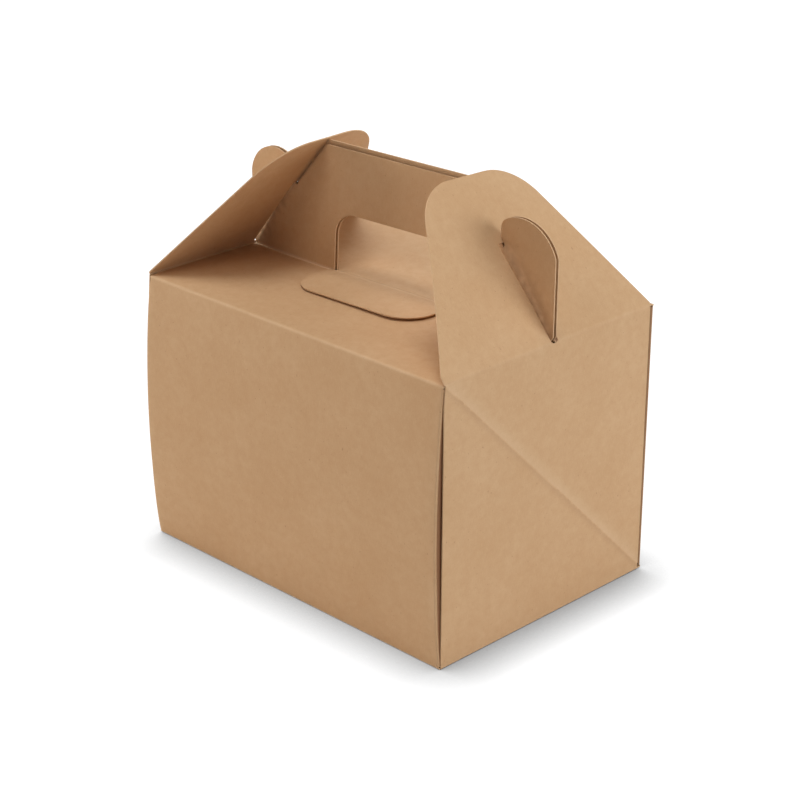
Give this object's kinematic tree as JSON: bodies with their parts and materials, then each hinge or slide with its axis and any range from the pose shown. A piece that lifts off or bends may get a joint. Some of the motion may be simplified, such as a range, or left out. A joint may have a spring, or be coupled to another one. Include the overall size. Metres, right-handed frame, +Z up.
{
  "type": "cake box",
  "caption": "Folded kraft card cake box with an upright handle, a hand hole, and slotted end flaps that hook over ears on the handle.",
  "frame": {"origin": "middle of the base's underside, midway between the end walls and between the front and back folds", "axes": "+X along the handle, -Y out of the front wall (the one that bulges), +Z up"},
  "size_m": [0.15, 0.109, 0.1554],
  "materials": {
    "box_card": "matte",
    "left_flap_card": "matte",
    "right_flap_card": "matte"
  },
  "bodies": {
    "box": {"folded_box": "box_card"},
    "left_flap": {"left_end_flap": "left_flap_card"},
    "right_flap": {"right_end_flap": "right_flap_card"}
  },
  "joints": [
    {"name": "left_flap_crease", "type": "hinge", "parent": "box", "child": "left_flap", "pos_m": [-0.07477, 0, 0.10515], "axis": [0, -1, 0], "range_deg": [0, 128]},
    {"name": "right_flap_crease", "type": "hinge", "parent": "box", "child": "right_flap", "pos_m": [0.07477, 0, 0.10515], "axis": [0, 1, 0], "range_deg": [0, 128]}
  ]
}
